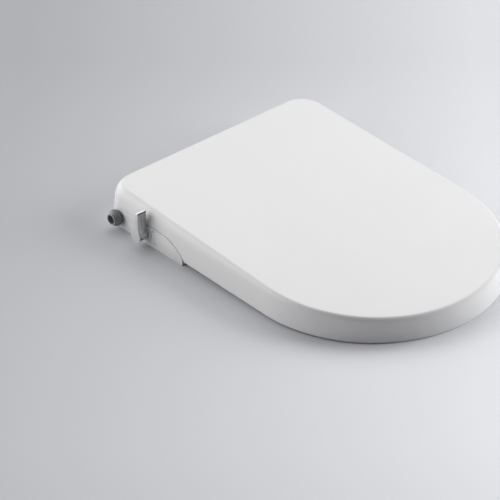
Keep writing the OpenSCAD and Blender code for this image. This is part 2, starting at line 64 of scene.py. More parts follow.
LENS_MM = 220.25
SENSOR_MM = 36.0
CAMERA_AT = Vector((-2304.6, -2603.2, 2171.3)) * MM
LOOK_AT = Vector((-90.34, -136.55, 0.0)) * MM


def add_camera():
    data = bpy.data.cameras.new("camera")
    data.lens = LENS_MM
    data.sensor_width = SENSOR_MM
    data.clip_end = 30.0
    cam = bpy.data.objects.new("camera", data)
    cam.location = CAMERA_AT
    cam.rotation_euler = (LOOK_AT - CAMERA_AT).to_track_quat("-Z", "Y").to_euler()
    bpy.context.scene.collection.objects.link(cam)
    bpy.context.scene.camera = cam


# ---------------------------------------------------------------- materials

def new_material(name, colour, rough, **inputs):
    """Principled material; inputs are constants for the shader's own sockets, spaces as underscores."""
    mat = bpy.data.materials.new(name)
    mat.use_nodes = True
    shader = mat.node_tree.nodes["Principled BSDF"]
    shader.inputs["Base Color"].default_value = (*colour, 1.0)
    shader.inputs["Roughness"].default_value = rough
    for key, value in inputs.items():
        shader.inputs[key.replace("_", " ")].default_value = value
    return mat


def noise(mat, scale, detail, stretch=(1, 1, 1)):
    """Noise in the object's own coordinates; scale is in cycles per metre, stretched per axis."""
    tree = mat.node_tree
    coords = tree.nodes.new("ShaderNodeTexCoord")
    place = tree.nodes.new("ShaderNodeMapping")
    place.inputs["Scale"].default_value = stretch
    tex = tree.nodes.new("ShaderNodeTexNoise")
    tex.inputs["Scale"].default_value = scale
    tex.inputs["Detail"].default_value = detail
    tree.links.new(coords.outputs["Object"], place.inputs["Vector"])
    tree.links.new(place.outputs["Vector"], tex.inputs["Vector"])
    return tex.outputs["Fac"]


def vary(mat, source, target, low, high):
    """The noise moves one shader input between low and high."""
    tree = mat.node_tree
    span = tree.nodes.new("ShaderNodeMapRange")
    span.inputs["From Min"].default_value = 0.3
    span.inputs["From Max"].default_value = 0.7
    span.inputs["To Min"].default_value = low
    span.inputs["To Max"].default_value = high
    tree.links.new(source, span.inputs["Value"])
    tree.links.new(span.outputs["Result"], tree.nodes["Principled BSDF"].inputs[target])


def tint(mat, source, dark, light):
    """The noise blends the base colour between two close tones."""
    tree = mat.node_tree
    ramp = tree.nodes.new("ShaderNodeValToRGB")
    ramp.color_ramp.elements[0].position = 0.3
    ramp.color_ramp.elements[0].color = (*dark, 1.0)
    ramp.color_ramp.elements[1].position = 0.7
    ramp.color_ramp.elements[1].color = (*light, 1.0)
    tree.links.new(source, ramp.inputs["Fac"])
    tree.links.new(ramp.outputs["Color"], tree.nodes["Principled BSDF"].inputs["Base Color"])


def bump(mat, source, depth):
    """The noise becomes relief of that depth in metres."""
    tree = mat.node_tree
    node = tree.nodes.new("ShaderNodeBump")
    node.inputs["Strength"].default_value = 1.0
    node.inputs["Distance"].default_value = depth
    tree.links.new(source, node.inputs["Height"])
    tree.links.new(node.outputs["Normal"], tree.nodes["Principled BSDF"].inputs["Normal"])


def moulded(name, colour, spread, rough, grain, depth, **inputs):
    """Moulded plastic or rubber: a faint drift in tone, uneven gloss and a fine grain in relief."""
    mat = new_material(name, colour, rough[0], **inputs)
    dark = tuple(c * (1 - spread) for c in colour)
    light = tuple(min(1.0, c * (1 + spread)) for c in colour)
    tint(mat, noise(mat, 9.0, 2.0), dark, light)
    vary(mat, noise(mat, 60.0, 4.0), "Roughness", *rough)
    bump(mat, noise(mat, grain, 4.0), depth)
    return mat


def drawn(name, colour, rough, stretch, depth, fineness=1500.0, dark=0.86):
    """Metal with drawn lines that run along the short axis of stretch."""
    mat = new_material(name, colour, rough[0], Metallic=1.0)
    lines = noise(mat, fineness, 5.0, stretch)
    tint(mat, lines, tuple(c * dark for c in colour), colour)
    vary(mat, lines, "Roughness", *rough)
    bump(mat, lines, depth)
    return mat


MATERIALS = {
    "white_shell": moulded("white_shell", (0.715, 0.715, 0.718), 0.008, (0.36, 0.43), 700.0, 0.000004,
                           Coat_Weight=0.06, Coat_Roughness=0.2),
    "inner_white": moulded("inner_white", (0.71, 0.71, 0.715), 0.012, (0.42, 0.52), 1400.0, 0.00001),
    "chrome": drawn("chrome", (0.66, 0.675, 0.69), (0.22, 0.36), (1.0, 1.0, 0.02), 0.00002, 430.0, 0.6),
    # Lighter copy of the chrome, given to the lever's outer face and top as a painted highlight
    "chrome_painted_highlight": drawn("chrome_painted_highlight", (0.86, 0.87, 0.88), (0.42, 0.52), (1.0, 0.05, 1.0), 0.000002),
    "dark_plastic": moulded("dark_plastic", (0.205, 0.215, 0.225), 0.05, (0.34, 0.46), 1800.0, 0.00001),
    "grey_plastic": moulded("grey_plastic", (0.40, 0.405, 0.41), 0.03, (0.40, 0.5), 1600.0, 0.00001),
    "rubber": moulded("rubber", (0.26, 0.262, 0.265), 0.04, (0.62, 0.75), 1500.0, 0.000015),
    "steel": drawn("steel", (0.60, 0.60, 0.61), (0.22, 0.36), (0.05, 1.0, 1.0), 0.000002),
    "hose": moulded("hose", (0.62, 0.63, 0.64), 0.03, (0.28, 0.38), 500.0, 0.000006, Subsurface_Weight=0.15),
}


# ---------------------------------------------------------------- mesh helpers

def add_piece(name, mesh, node, sharp=40.0):
    """Puts a finished mesh in the scene in place of a CAD node, riding on the node's body."""
    piece = bpy.data.objects.new(name, mesh)
    bpy.context.scene.collection.objects.link(piece)
    slot = next(s["material_slot"] for s in frame["record"]["subparts"] if s["node"] == node)
    mesh.materials.clear()
    mesh.materials.append(MATERIALS[slot])
    for face in mesh.polygons:
        face.use_smooth = True
    mesh.set_sharp_from_angle(angle=math.radians(sharp))
    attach(piece, BODY_OF[node])
    return piece


def mesh_from(name, points, faces):
    """Mesh in metres from points in millimetres, with its normals turned outward."""
    mesh = bpy.data.meshes.new(name)
    mesh.from_pydata([tuple(c * MM for c in p) for p in points], [], faces)
    bm = bmesh.new()
    bm.from_mesh(mesh)
    bmesh.ops.remove_doubles(bm, verts=bm.verts, dist=1e-7)
    bmesh.ops.recalc_face_normals(bm, faces=bm.faces)
    bm.to_mesh(mesh)
    bm.free()
    return mesh


def baked(mesh, modifiers):
    """The mesh after a list of (type, {setting: value}) modifiers."""
    holder = bpy.data.objects.new("holder", mesh)
    bpy.context.scene.collection.objects.link(holder)
    for kind, settings in modifiers:
        modifier = holder.modifiers.new(kind, kind)
        for key, value in settings.items():
            setattr(modifier, key, value)
    done = holder.evaluated_get(bpy.context.evaluated_depsgraph_get())
    result = bpy.data.meshes.new_from_object(done)
    bpy.data.objects.remove(holder)
    return result


def joined(mesh, other, operation):
    """Exact union or difference of two closed meshes."""
    tool = bpy.data.objects.new("tool", other)
    bpy.context.scene.collection.objects.link(tool)
    result = baked(mesh, [("BOOLEAN", {"object": tool, "operation": operation, "solver": "EXACT"})])
    bpy.data.objects.remove(tool)
    return result


def loft(rings, close_rings=False):
    """Faces between rings of equal length, each ring closed on itself."""
    count = len(rings[0])
    faces = []
    for a in range(len(rings) if close_rings else len(rings) - 1):
        b = (a + 1) % len(rings)
        for i in range(count):
            j = (i + 1) % count
            faces.append((a * count + i, a * count + j, b * count + j, b * count + i))
    return [p for ring in rings for p in ring], faces


def cad_copy(node, name, flat_angle):
    """Copy of a CAD node's mesh, with faces that meet at less than flat_angle degrees merged."""
    bm = bmesh.new()
    bm.from_mesh(nodes[node].data)
    bmesh.ops.remove_doubles(bm, verts=bm.verts, dist=WELD)
    bmesh.ops.dissolve_limit(bm, angle_limit=math.radians(flat_angle), verts=bm.verts, edges=bm.edges)
    mesh = bpy.data.meshes.new(name)
    bm.to_mesh(mesh)
    bm.free()
    return mesh


def softened(node, width):
    """A CAD node's own shape with its hard edges rounded, as a moulded or turned piece has them."""
    bevel = ("BEVEL", {"width": width * MM, "segments": 2, "limit_method": "ANGLE",
                       "angle_limit": math.radians(35), "use_clamp_overlap": False,
                       "miter_outer": "MITER_ARC"})
    mesh = baked(cad_copy(node, node + "_soft", 0.3), [bevel])
    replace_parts(add_piece(node + "_form", mesh, node), node)


# ---------------------------------------------------------------- overall form

low, high = (Vector(corner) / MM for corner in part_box("lid"))
HALF_W = round(high.x)
REAR_Y = round(high.y)
FRONT_Y = round(low.y)
ARC_Y = FRONT_Y + HALF_W
REAR_H, FRONT_H = 55.0, 33.5
SLOPE = (REAR_H - FRONT_H) / (REAR_Y - FRONT_Y)
CORNER_R = 30.0
SEAM_Z, SEAM_GAP, SEAM_R = 28.5, 0.25, 61.0
ARC_START = -62.0
CHEEK_Y = -106.0
SKIRT_FRONT_Z, SKIRT_REAR_Z = 0.5, 6.5
HINGE_Y, HINGE_Z = 37.0, 40.0

# Draft over the full height, width of the crown that rolls over to the top, and how late it rolls
SIDE = (0.0, 14.5, 4.5)
FRONT = (3.6, 5.5, 12)
BACK = (1.2, 7.5, 10)


def top_z(y):
    return FRONT_H + (y - FRONT_Y) * SLOPE


def wall_inset(f, draft, crown, power):
    return draft * f + crown * (1 - math.sqrt(max(0.0, 1 - f ** power)))


def lid_bottom(y):
    """Height of the lid's lower edge: the skirt's line, then the seam's curve, then the seam."""
    line = SKIRT_FRONT_Z + (y - FRONT_Y) / (CHEEK_Y - FRONT_Y) * (SKIRT_REAR_Z - SKIRT_FRONT_Z)
    if y >= ARC_START:
        return SEAM_Z + SEAM_GAP
    reach = (SEAM_R + SEAM_GAP) ** 2 - (y - ARC_START) ** 2
    arc = SEAM_Z - SEAM_R + math.sqrt(reach) if reach > 0 else 0.0
    return max(line, arc)


def outline_point(s, f, e):
    """Point (x, y) of the lid's plan at height fraction f, moved in by e.
    s runs 0..1 along the rear edge, 1..2 round the rear corner, 2..3 down the side, 3..4 round the front."""
    side, front, back = (wall_inset(f, *face) for face in (SIDE, FRONT, BACK))
    r = CORNER_R - 0.15 * side
    cx, cy = HALF_W - side - r, REAR_Y - back - r
    big = HALF_W - front
    dx, dy = -cx, ARC_Y - cy
    turn = math.atan2(dy, dx) + math.acos((r - big) / math.hypot(dx, dy))
    r, big = r - e, big - e
    if s <= 1:
        return cx * s, cy + r
    if s <= 2:
        a = math.pi / 2 + (turn - math.pi / 2) * (s - 1)
        return cx + r * math.cos(a), cy + r * math.sin(a)
    if s <= 3:
        t = s - 2
        ax, ay = cx + r * math.cos(turn), cy + r * math.sin(turn)
        bx, by = big * math.cos(turn), ARC_Y + big * math.sin(turn)
        return ax + (bx - ax) * t, ay + (by - ay) * t
    a = turn + (-math.pi / 2 - turn) * (s - 3)
    return big * math.cos(a), ARC_Y + big * math.sin(a)


def steps(start, stop, count):
    return [start + (stop - start) * k / count for k in range(count + 1)]


def half_outline_stops():
    """Stops along half of the outline, closer together where the seam curves down to the skirt."""
    side = steps(2.0, 2.32, 10) + steps(2.32, 2.58, 44)[1:] + steps(2.58, 3.0, 14)[1:]
    return steps(0.0, 1.0, 14) + steps(1.0, 2.0, 22)[1:] + side[1:] + steps(3.0, 4.0, 64)[1:]


STOPS = half_outline_stops()


def whole_outline(f_of, e, z_of):
    """Closed ring of (x, y, z); f_of gives the height fraction at a stop."""
    half = []
    for s in STOPS:
        f = f_of(s)
        x, y = outline_point(s, f, e)
        half.append((x, y, z_of(f, y)))
    return half + [(-x, y, z) for x, y, z in reversed(half[1:-1])]


def lowest_fraction(s, e, drop, lift):
    """Height fraction at which the wall at stop s meets the lid's lower edge raised by lift."""
    f = 0.2
    for _ in range(12):
        y = outline_point(s, f, e)[1]
        f = (lid_bottom(y) + lift) / (top_z(y) - drop)
    return f


def lid_skin(e, drop, lift, rows):
    """Rings of one skin of the lid from its lower edge up and over the crown, closer towards the top."""
    bottom = {s: lowest_fraction(s, e, drop, lift) for s in STOPS}
    height = lambda f, y: f * (top_z(y) - drop)
    rings = []
    for t in steps(0.0, 1.0, rows):
        rise = 1 - (1 - t) ** 2
        rings.append(whole_outline(lambda s: bottom[s] + (1 - bottom[s]) * rise, e, height))
    return rings


def cap_rings(edge, dome):
    """Rings that close a flat top: the edge drawn in towards the spine, with a slight dome."""
    rings = []
    for t in (0.03, 0.08, 0.16, 0.28, 0.42, 0.58, 0.74, 0.88, 0.96):
        ring = []
        for x, y, z in edge:
            spine_y = min(max(y, ARC_Y), 0.0)
            py = y + (spine_y - y) * t
            ring.append((x * (1 - t), py, z + (py - y) * SLOPE + dome * (1 - (1 - t) ** 2)))
        rings.append(ring)
    return rings


LID_T = 3.0
LID_DOME = 0.5
RIM_R = 0.8


def lid_shell_mesh():
    outer = lid_skin(0.0, 0.0, RIM_R, 26)
    inner = lid_skin(LID_T, LID_T, RIM_R, 14)
    rim = []
    for a in steps(0.0, 90.0, 4)[1:]:
        e, lift = RIM_R * (1 - math.cos(math.radians(a))), RIM_R * (1 - math.sin(math.radians(a)))
        rim.append(lid_rim_ring(e, lift))
    for a in steps(90.0, 0.0, 4)[:-1]:
        e = LID_T - RIM_R * (1 - math.cos(math.radians(a)))
        lift = RIM_R * (1 - math.sin(math.radians(a)))
        rim.append(lid_rim_ring(e, lift))
    rings = list(reversed(cap_rings(outer[-1], LID_DOME))) + list(reversed(outer))
    rings += rim + inner + cap_rings(inner[-1], LID_DOME)
    points, faces = loft(rings)
    count = len(rings[0])
    faces.append(tuple(range(count)))
    faces.append(tuple(range(len(points) - count, len(points))))
    return mesh_from("lid_shell", points, faces)


def lid_rim_ring(e, lift):
    bottom = {s: lowest_fraction(s, e, 0.0, lift) for s in STOPS}
    return whole_outline(lambda s: bottom[s], e, lambda f, y: f * top_z(y))


def bar_mesh(name, profile, x0, x1):
    """Side view (y, z) drawn out along X."""
    n = len(profile)
    points = [(x0, y, z) for y, z in profile] + [(x1, y, z) for y, z in profile]
    faces = [tuple(range(n)), tuple(range(2 * n - 1, n - 1, -1))]
    faces += [(i, (i + 1) % n, n + (i + 1) % n, n + i) for i in range(n)]
    return mesh_from(name, points, faces)


def arc_points(cy, cz, r, start, stop, count):
    return [(cy + r * math.cos(math.radians(a)), cz + r * math.sin(math.radians(a)))
            for a in steps(start, stop, count)]


EYE_R, SHAFT_R = 8.0, 4.0
LUG_IN, LUG_OUT = 136.8, 148.0
LUG_WELD = 0.6  # how far a hinge lug reaches into the lid's roof
ARM_IN, ARM_OUT = 118.8, 136.0
BEVEL = ("BEVEL", {"width": 0.5 * MM, "segments": 2, "limit_method": "ANGLE",
                   "angle_limit": math.radians(40), "use_clamp_overlap": False})


def bore_mesh(x0, x1):
    """Cylinder that clears the hinge shaft from x0 to x1."""
    return bar_mesh("bore", arc_points(HINGE_Y, HINGE_Z, SHAFT_R, 0, 352.5, 47), x0, x1)


def add_lid():
    mesh = lid_shell_mesh()
    for side in (-1, 1):
        crest = top_z(HINGE_Y - EYE_R) - LID_T + LUG_WELD
        profile = arc_points(HINGE_Y, HINGE_Z, EYE_R, 180, 360, 24)
        profile += [(HINGE_Y + EYE_R, crest), (HINGE_Y - EYE_R, crest)]
        lug = baked(bar_mesh("lug", profile, side * LUG_IN, side * LUG_OUT), [BEVEL])
        mesh = joined(mesh, lug, "UNION")
        mesh = joined(mesh, bore_mesh(side * (LUG_IN - 1), side * (LUG_OUT + 1)), "DIFFERENCE")
    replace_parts(add_piece("lid_shell", mesh, "lid"), "lid")


# ---------------------------------------------------------------- seat

SEAT_IN, SEAT_REAR, SEAT_Z, SEAT_GAP, SEAT_T = 8.0, -111.0, 8.0, 6.5, 3.0
SEAT_CORNER = 20.0
SEAT_SIDE = (2.0, 13.0, 6)
SEAT_BACK = (1.0, 6.0, 6)
HOLES = ((-236.0, 98.0), (-268.0, 102.0))
HOLE_MIDDLE = -252.0
FLARE, FLARE_Z = 10.0, 19.0


def seat_top(y):
    return top_z(y) - SEAT_GAP


def seat_outline_point(s, f, e):
    """Point of the seat's plan; s runs 0..1 along its rear edge, 1..2 corner, 2..3 side, 3..4 front."""
    side = SEAT_IN + wall_inset(f, *SEAT_SIDE)
    edge = HALF_W - side
    cx, cy = edge - SEAT_CORNER, SEAT_REAR - SEAT_CORNER - wall_inset(f, *SEAT_BACK)
    r = SEAT_CORNER - e
    if s <= 1:
        return cx * s, cy + r
    if s <= 2:
        a = math.pi / 2 * (2 - s)
        return cx + r * math.cos(a), cy + r * math.sin(a)
    if s <= 3:
        return edge - e, cy + (ARC_Y - cy) * (s - 2)
    a = -math.pi / 2 * (s - 3)
    return (edge - e) * math.cos(a), ARC_Y + (edge - e) * math.sin(a)


def hole_outline(grow, count=720):
    """Polar angles and points round the opening over the bowl, grown by grow."""
    (ya, ra), (yb, rb) = HOLES
    split = math.asin((ra - rb) / (yb - ya))
    points = []
    for k in range(count):
        a = 2 * math.pi * k / count - math.pi / 2
        y0, r = (ya, ra) if math.sin(a) > math.sin(split) else (yb, rb)
        points.append(((r + grow) * math.cos(a), y0 + (r + grow) * math.sin(a)))
    return points


def hole_point(x, y, outline):
    """Where the ray from the middle of the opening through (x, y) meets the opening's outline."""
    want = math.atan2(y - HOLE_MIDDLE, x)
    best, previous = None, outline[-1]
    for point in outline:
        a0 = math.atan2(previous[1] - HOLE_MIDDLE, previous[0])
        a1 = math.atan2(point[1] - HOLE_MIDDLE, point[0])
        turn = (a1 - a0) % (2 * math.pi)
        ahead = (want - a0) % (2 * math.pi)
        if turn < math.pi and ahead <= turn and turn > 0:
            k = ahead / turn
            best = (previous[0] + (point[0] - previous[0]) * k, previous[1] + (point[1] - previous[1]) * k)
            break
        previous = point
    return best


SEAT_STOPS = steps(0.0, 1.0, 16) + steps(1.0, 2.0, 14)[1:] + steps(2.0, 3.0, 14)[1:] + steps(3.0, 4.0, 48)[1:]


def mirrored_ring(half):
    return half + [(-x, y, z) for x, y, z in reversed(half[1:-1])]


def seat_ring_row(f, e, z_of):
    return mirrored_ring([(x, y, z_of(y)) for x, y in (seat_outline_point(s, f, e) for s in SEAT_STOPS)])


def hole_row(grow, z_of):
    """Ring on the opening's outline, one point for each column of the seat's outline."""
    outline = hole_outline(grow)
    half = []
    for s in SEAT_STOPS:
        x, y = hole_point(*seat_outline_point(s, 0.0, 0.0), outline)
        half.append((x if 0 < s < 4 else 0.0, y, z_of(y)))
    return mirrored_ring(half)


def between(ring_a, ring_b, t, sag, z_of):
    """Ring a share t of the way from a to b, lowered by sag below the plane z_of."""
    ring = []
    for (xa, ya, _), (xb, yb, _) in zip(ring_a, ring_b):
        x, y = xa + (xb - xa) * t, ya + (yb - ya) * t
        ring.append((x, y, z_of(y) - sag))
    return ring


def seat_shell_mesh():
    top = seat_top
    base = SEAT_Z - 0.5
    rings = []
    for t in steps(0.0, 1.0, 18):
        f = 1 - (1 - t) ** 2
        f = 0.05 + 0.95 * f
        rings.append(seat_ring_row(f, 0.0, lambda y: base + f * (top(y) - base)))
    crest = rings[-1]
    lip = hole_row(FLARE, top)
    rings += [between(crest, lip, t, 0.7 * math.sin(math.pi * t), top) for t in steps(0.0, 1.0, 8)[1:-1]]
    for a in steps(0.0, 90.0, 9):
        out, up = math.sin(math.radians(a)), math.cos(math.radians(a))
        rings.append(hole_row(FLARE * (1 - out), lambda y: FLARE_Z + (top(y) - FLARE_Z) * up))
    rings += [hole_row(0.0, lambda y: z) for z in (14.0, SEAT_Z + RIM_R)]
    for a in steps(0.0, 90.0, 3)[1:]:
        in_, up = 1 - math.cos(math.radians(a)), 1 - math.sin(math.radians(a))
        rings.append(hole_row(RIM_R * in_, lambda y: SEAT_Z + RIM_R * up))
    rings += [hole_row(SEAT_T, lambda y: z) for z in (SEAT_Z, 14.0)]
    ceiling = lambda y: top(y) - SEAT_T
    rings.append(hole_row(SEAT_T + FLARE, ceiling))
    rings.append(seat_ring_row(0.97, SEAT_T, ceiling))
    for f in (0.9, 0.6, 0.3):
        rings.append(seat_ring_row(f, SEAT_T, lambda y: base + f * (top(y) - SEAT_T - base)))
    rings.append(seat_ring_row(0.03, SEAT_T, lambda y: SEAT_Z))
    for a in steps(90.0, 0.0, 3)[:-1]:
        in_, up = 1 - math.cos(math.radians(a)), 1 - math.sin(math.radians(a))
        rings.append(seat_ring_row(0.03, RIM_R * in_, lambda y: SEAT_Z + RIM_R * up))
    return mesh_from("seat_shell", *loft(rings, close_rings=True))


def arm_outline():
    """Side view of a hinge arm: a long tapering bar that ends in an eye round the hinge line."""
    points = [(-126.0, 28.5), (-126.0, seat_top(-126.0) - 2)]
    points += arc_points(HINGE_Y, HINGE_Z, EYE_R, 90, -90, 28)
    return points + [(26.0, HINGE_Z - EYE_R + 2.5), (10.0, 29.0)]


def add_seat():
    mesh = seat_shell_mesh()
    for side in (-1, 1):
        arm = baked(bar_mesh("arm", arm_outline(), side * ARM_IN, side * ARM_OUT), [BEVEL])
        mesh = joined(mesh, arm, "UNION")
        mesh = joined(mesh, bore_mesh(side * (ARM_IN - 1), side * (ARM_OUT + 1)), "DIFFERENCE")
    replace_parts(add_piece("seat_shell", mesh, "seat_ring"), "seat_ring")


def add_seat_underside():
    """Flat closing plate, welded inside the seat's rim."""
    low_z, high_z, edge = SEAT_Z, SEAT_Z + 2.4, 0.5
    gap = SEAT_T + 0.3
    rings = [
        seat_ring_row(0.02, gap + edge, lambda y: low_z),
        seat_ring_row(0.02, gap, lambda y: low_z + edge),
        seat_ring_row(0.1, gap, lambda y: high_z),
        hole_row(gap, lambda y: high_z),
        hole_row(gap, lambda y: low_z + edge),
        hole_row(gap + edge, lambda y: low_z),
    ]
    for t in (0.86, 0.84, 0.5, 0.16, 0.14):
        sag = 0.0 if t in (0.86, 0.14) else -0.6
        rings.append(between(rings[0], rings[5], t, sag, lambda y: low_z))
    mesh = mesh_from("seat_plate", *loft(rings, close_rings=True))
    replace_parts(add_piece("seat_plate", mesh, "seat_underside", sharp=30), "seat_underside")


# ---------------------------------------------------------------- lever, nut and marks

LEVER_Y, LEVER_Z, LEVER_REACH, HUB_R, TIP_R = -32.0, 16.5, 35.5, 9.0, 2.7
LEVER_OUT, LEVER_IN = -196.0, -181.2
LEVER_LEAN = 3.0  # how far the tip is ahead of the hub
WAIST_ANGLE = 20.0  # degrees; narrows the blade where it leaves the hub


def lever_outline():
    """Side view of the lever: a round hub that flows into a slim blade leaning forward."""
    tip = LEVER_REACH - TIP_R
    front, back = [], []
    for z in steps(0.0, tip, 40):
        u = z / tip
        half = (TIP_R + (HUB_R - TIP_R) * (1 - u) ** 2) * math.cos(math.radians(WAIST_ANGLE * (1 - u)))
        lean = LEVER_LEAN * u ** 1.5
        hub = math.sqrt(HUB_R ** 2 - z ** 2) if z < HUB_R else 0.0
        front.append((LEVER_Y - max(hub, lean + half), LEVER_Z + z))
        back.append((LEVER_Y + max(hub, half - lean), LEVER_Z + z))
    end = arc_points(LEVER_Y - LEVER_LEAN, LEVER_Z + tip, TIP_R, 180, 0, 12)
    hub = arc_points(LEVER_Y, LEVER_Z, HUB_R, 0, -180, 40)
    return front + end[1:-1] + list(reversed(back)) + hub[1:-1]


def paint(piece, material, belongs):
    """Gives the faces that belong a second material; belongs takes a face's centre in mm and its normal."""
    mesh = piece.data
    mesh.materials.append(MATERIALS[material])
    for face in mesh.polygons:
        if belongs(face.center / MM, face.normal):
            face.material_index = len(mesh.materials) - 1


def add_lever():
    mesh = bar_mesh("lever", lever_outline(), LEVER_OUT, LEVER_IN)
    bevel = ("BEVEL", {**BEVEL[1], "width": 0.45 * MM, "segments": 4})
    piece = add_piece("lever_handle", baked(mesh, [bevel]), "control_lever", sharp=60)
    # Painted highlight: the outer face and the top get the lighter chrome, the sides keep the darker chrome
    paint(piece, "chrome_painted_highlight", lambda middle, normal: normal.x < -0.5 or normal.z > 0.5 and middle.z > 45)
    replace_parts(piece, "control_lever")


def turned(name, profile, axis_y, axis_z, count, ripple=lambda a, k: 0.0):
    """Piece turned about an axis along X from (x, r) points; ripple adds to the radius."""
    rings = []
    for k, (x, r) in enumerate(profile):
        ring = []
        for i in range(count):
            a = 2 * math.pi * i / count
            radius = r + ripple(a, k)
            ring.append((x, axis_y + radius * math.cos(a), axis_z + radius * math.sin(a)))
        rings.append(ring)
    return mesh_from(name, *loft(rings, close_rings=True))


INLET_Y, INLET_Z = 20.0, 16.0


def add_inlet_nut():
    """Coupling nut: a ribbed grip that tapers to a thin-walled mouth."""
    ribs = 24
    profile = [(-183.0, 8.05), (-183.0, 10.3), (-183.15, 10.6), (-183.5, 10.8), (-184.0, 10.9),
               (-184.8, 11.0), (-186.0, 11.0), (-187.0, 10.95), (-188.0, 10.5), (-189.4, 9.85),
               (-191.0, 9.1), (-192.4, 8.45), (-193.4, 8.0), (-193.8, 7.75), (-194.0, 7.4),
               (-194.0, 6.85), (-193.85, 6.6), (-193.5, 6.5), (-190.0, 6.5), (-187.2, 6.5),
               (-187.2, 5.6), (-186.0, 5.6), (-186.0, 8.05)]
    depth = {4: 0.3, 5: 0.55, 6: 0.6, 7: 0.6, 8: 0.5, 9: 0.3}

    def grip(a, k):
        return depth.get(k, 0.0) * (max(-0.4, math.cos(ribs * a)) - 0.3)

    mesh = turned("inlet_nut_form", profile, INLET_Y, INLET_Z, ribs * 10, grip)
    piece = add_piece("inlet_nut_form", mesh, "inlet_nut", sharp=50)
    # Painted highlight: the rim of the mouth gets the lighter grey plastic
    paint(piece, "grey_plastic", lambda middle, normal: middle.x < -193.7 and math.hypot(
        middle.y - INLET_Y, middle.z - INLET_Z) < 7.7)
    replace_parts(piece, "inlet_nut")


def add_lever_bezel():
    """White disc behind the lever's hub, ringed by a thin dark band: painted shade for the gap at the disc's
    edge.
    """
    profile = [(-180.0, 5.0), (-180.0, 13.15), (-180.3, 13.15), (-180.3, 13.0), (-180.6, 13.0),
               (-180.82, 12.9), (-180.9, 12.65), (-180.9, 5.3), (-180.8, 5.05), (-180.5, 5.0)]
    mesh = turned("lever_bezel_form", profile, LEVER_Y, LEVER_Z, 128)
    piece = add_piece("lever_bezel_form", mesh, "lever_bezel", sharp=30)
    # Painted shade: the band at the disc's edge gets the dark rubber, where the disc meets the wall
    paint(piece, "rubber", lambda middle, normal: middle.x > -180.31 and math.hypot(
        middle.y - LEVER_Y, middle.z - LEVER_Z) > 12.9)
    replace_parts(piece, "lever_bezel")


INK = moulded("printed_ink", (0.17, 0.175, 0.185), 0.03, (0.45, 0.55), 900.0, 0.000002)
INK_T = 0.05


def add_mark(name, y, z, turn):
    """Small printed mark on the cheek: a nozzle's short bar and three drops fanning from it."""
    shapes = [[(-1.1, -0.35), (1.1, -0.35), (1.1, 0.35), (-1.1, 0.35)]]
    for a in (-32, 0, 32):
        cy, cz = 2.2 * math.sin(math.radians(a)), 0.6 + 2.0 * math.cos(math.radians(a))
        shapes.append([(cy + 0.42 * math.cos(k * math.pi / 8), cz + 0.75 * math.sin(k * math.pi / 8))
                       for k in range(16)])
    points, faces = [], []
    c, s = math.cos(math.radians(turn)), math.sin(math.radians(turn))
    for shape in shapes:
        n, first = len(shape), len(points)
        flat = [(y + c * u - s * v, z + s * u + c * v) for u, v in shape]
        for x in (-HALF_W - INK_T, -HALF_W + INK_T):
            points += [(x, u, v) for u, v in flat]
        faces += [tuple(range(first, first + n)), tuple(range(first + 2 * n - 1, first + n - 1, -1))]
        faces += [(first + i, first + (i + 1) % n, first + n + (i + 1) % n, first + n + i) for i in range(n)]
    mesh = mesh_from(name, points, faces)
    piece = bpy.data.objects.new(name, mesh)
    bpy.context.scene.collection.objects.link(piece)
    mesh.materials.append(INK)
    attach(piece, "housing")


# ---------------------------------------------------------------- springs and hoses

def swept(path, r, sides):
    """Round tube through points in millimetres, with closed ends."""
    rings = []
    up = Vector((0.1, 0.2, 1.0))
    for i, p in enumerate(path):
        ahead = (path[min(i + 1, len(path) - 1)] - path[max(i - 1, 0)]).normalized()
        u = ahead.cross(up).normalized()
        v = ahead.cross(u)
        up = -v if i else up
        angles = [2 * math.pi * k / sides for k in range(sides)]
        rings.append([tuple(p + r * (math.cos(a) * u + math.sin(a) * v)) for a in angles])
    points, faces = loft(rings)
    faces += [tuple(range(sides)), tuple(range(len(points) - sides, len(points)))]
    return points, faces


POINTS_A_TURN = 24


def add_spring(node, axis, wire, turns):
    """Coil in the space its CAD node holds, along axis; also returns its middle and length in metres."""
    lowest, highest = (Vector(corner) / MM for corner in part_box(node))
    middle = (lowest + highest) / 2
    radius = min(highest - lowest) / 2 - wire
    axis = axis.normalized()
    side = axis.cross(Vector((0.0, 0.3, 1.0))).normalized()
    other = axis.cross(side)
    along = [abs(a) for a in axis]
    widest = max(range(3), key=lambda i: along[i])
    spread = 2 * (radius + wire) * math.sqrt(max(0.0, 1 - along[widest] ** 2))
    length = ((highest - lowest)[widest] - spread) / along[widest] - 2 * wire
    count = turns * POINTS_A_TURN
    path = []
    for k in range(count + 1):
        a = 2 * math.pi * k / POINTS_A_TURN
        outward = math.cos(a) * side + math.sin(a) * other
        path.append(middle + axis * (k / count - 0.5) * length + radius * outward)
    mesh = mesh_from(node + "_wire", *swept(path, wire, 10))
    piece = add_piece(node + "_wire", mesh, node)
    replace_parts(piece, node)
    return piece, middle * MM, length * MM


def add_hose(node, radius):
    """The CAD tube with its section rounded, then grown by what the rounding takes off its radius."""
    mesh = cad_copy(node, node + "_tube", 1.5)
    mesh = baked(mesh, [("SUBSURF", {"levels": 2, "render_levels": 2}),
                        ("DISPLACE", {"strength": radius * 0.09 * MM, "mid_level": 0.0})])
    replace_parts(add_piece(node + "_tube", mesh, node, sharp=60), node)


# ---------------------------------------------------------------- everything in place

add_lid()
add_seat()
add_seat_underside()
add_lever()
add_inlet_nut()
add_lever_bezel()
add_mark("mark_rear_wash", -48.0, 24.5, 60.0)
add_mark("mark_front_wash", -50.5, 8.5, 120.0)

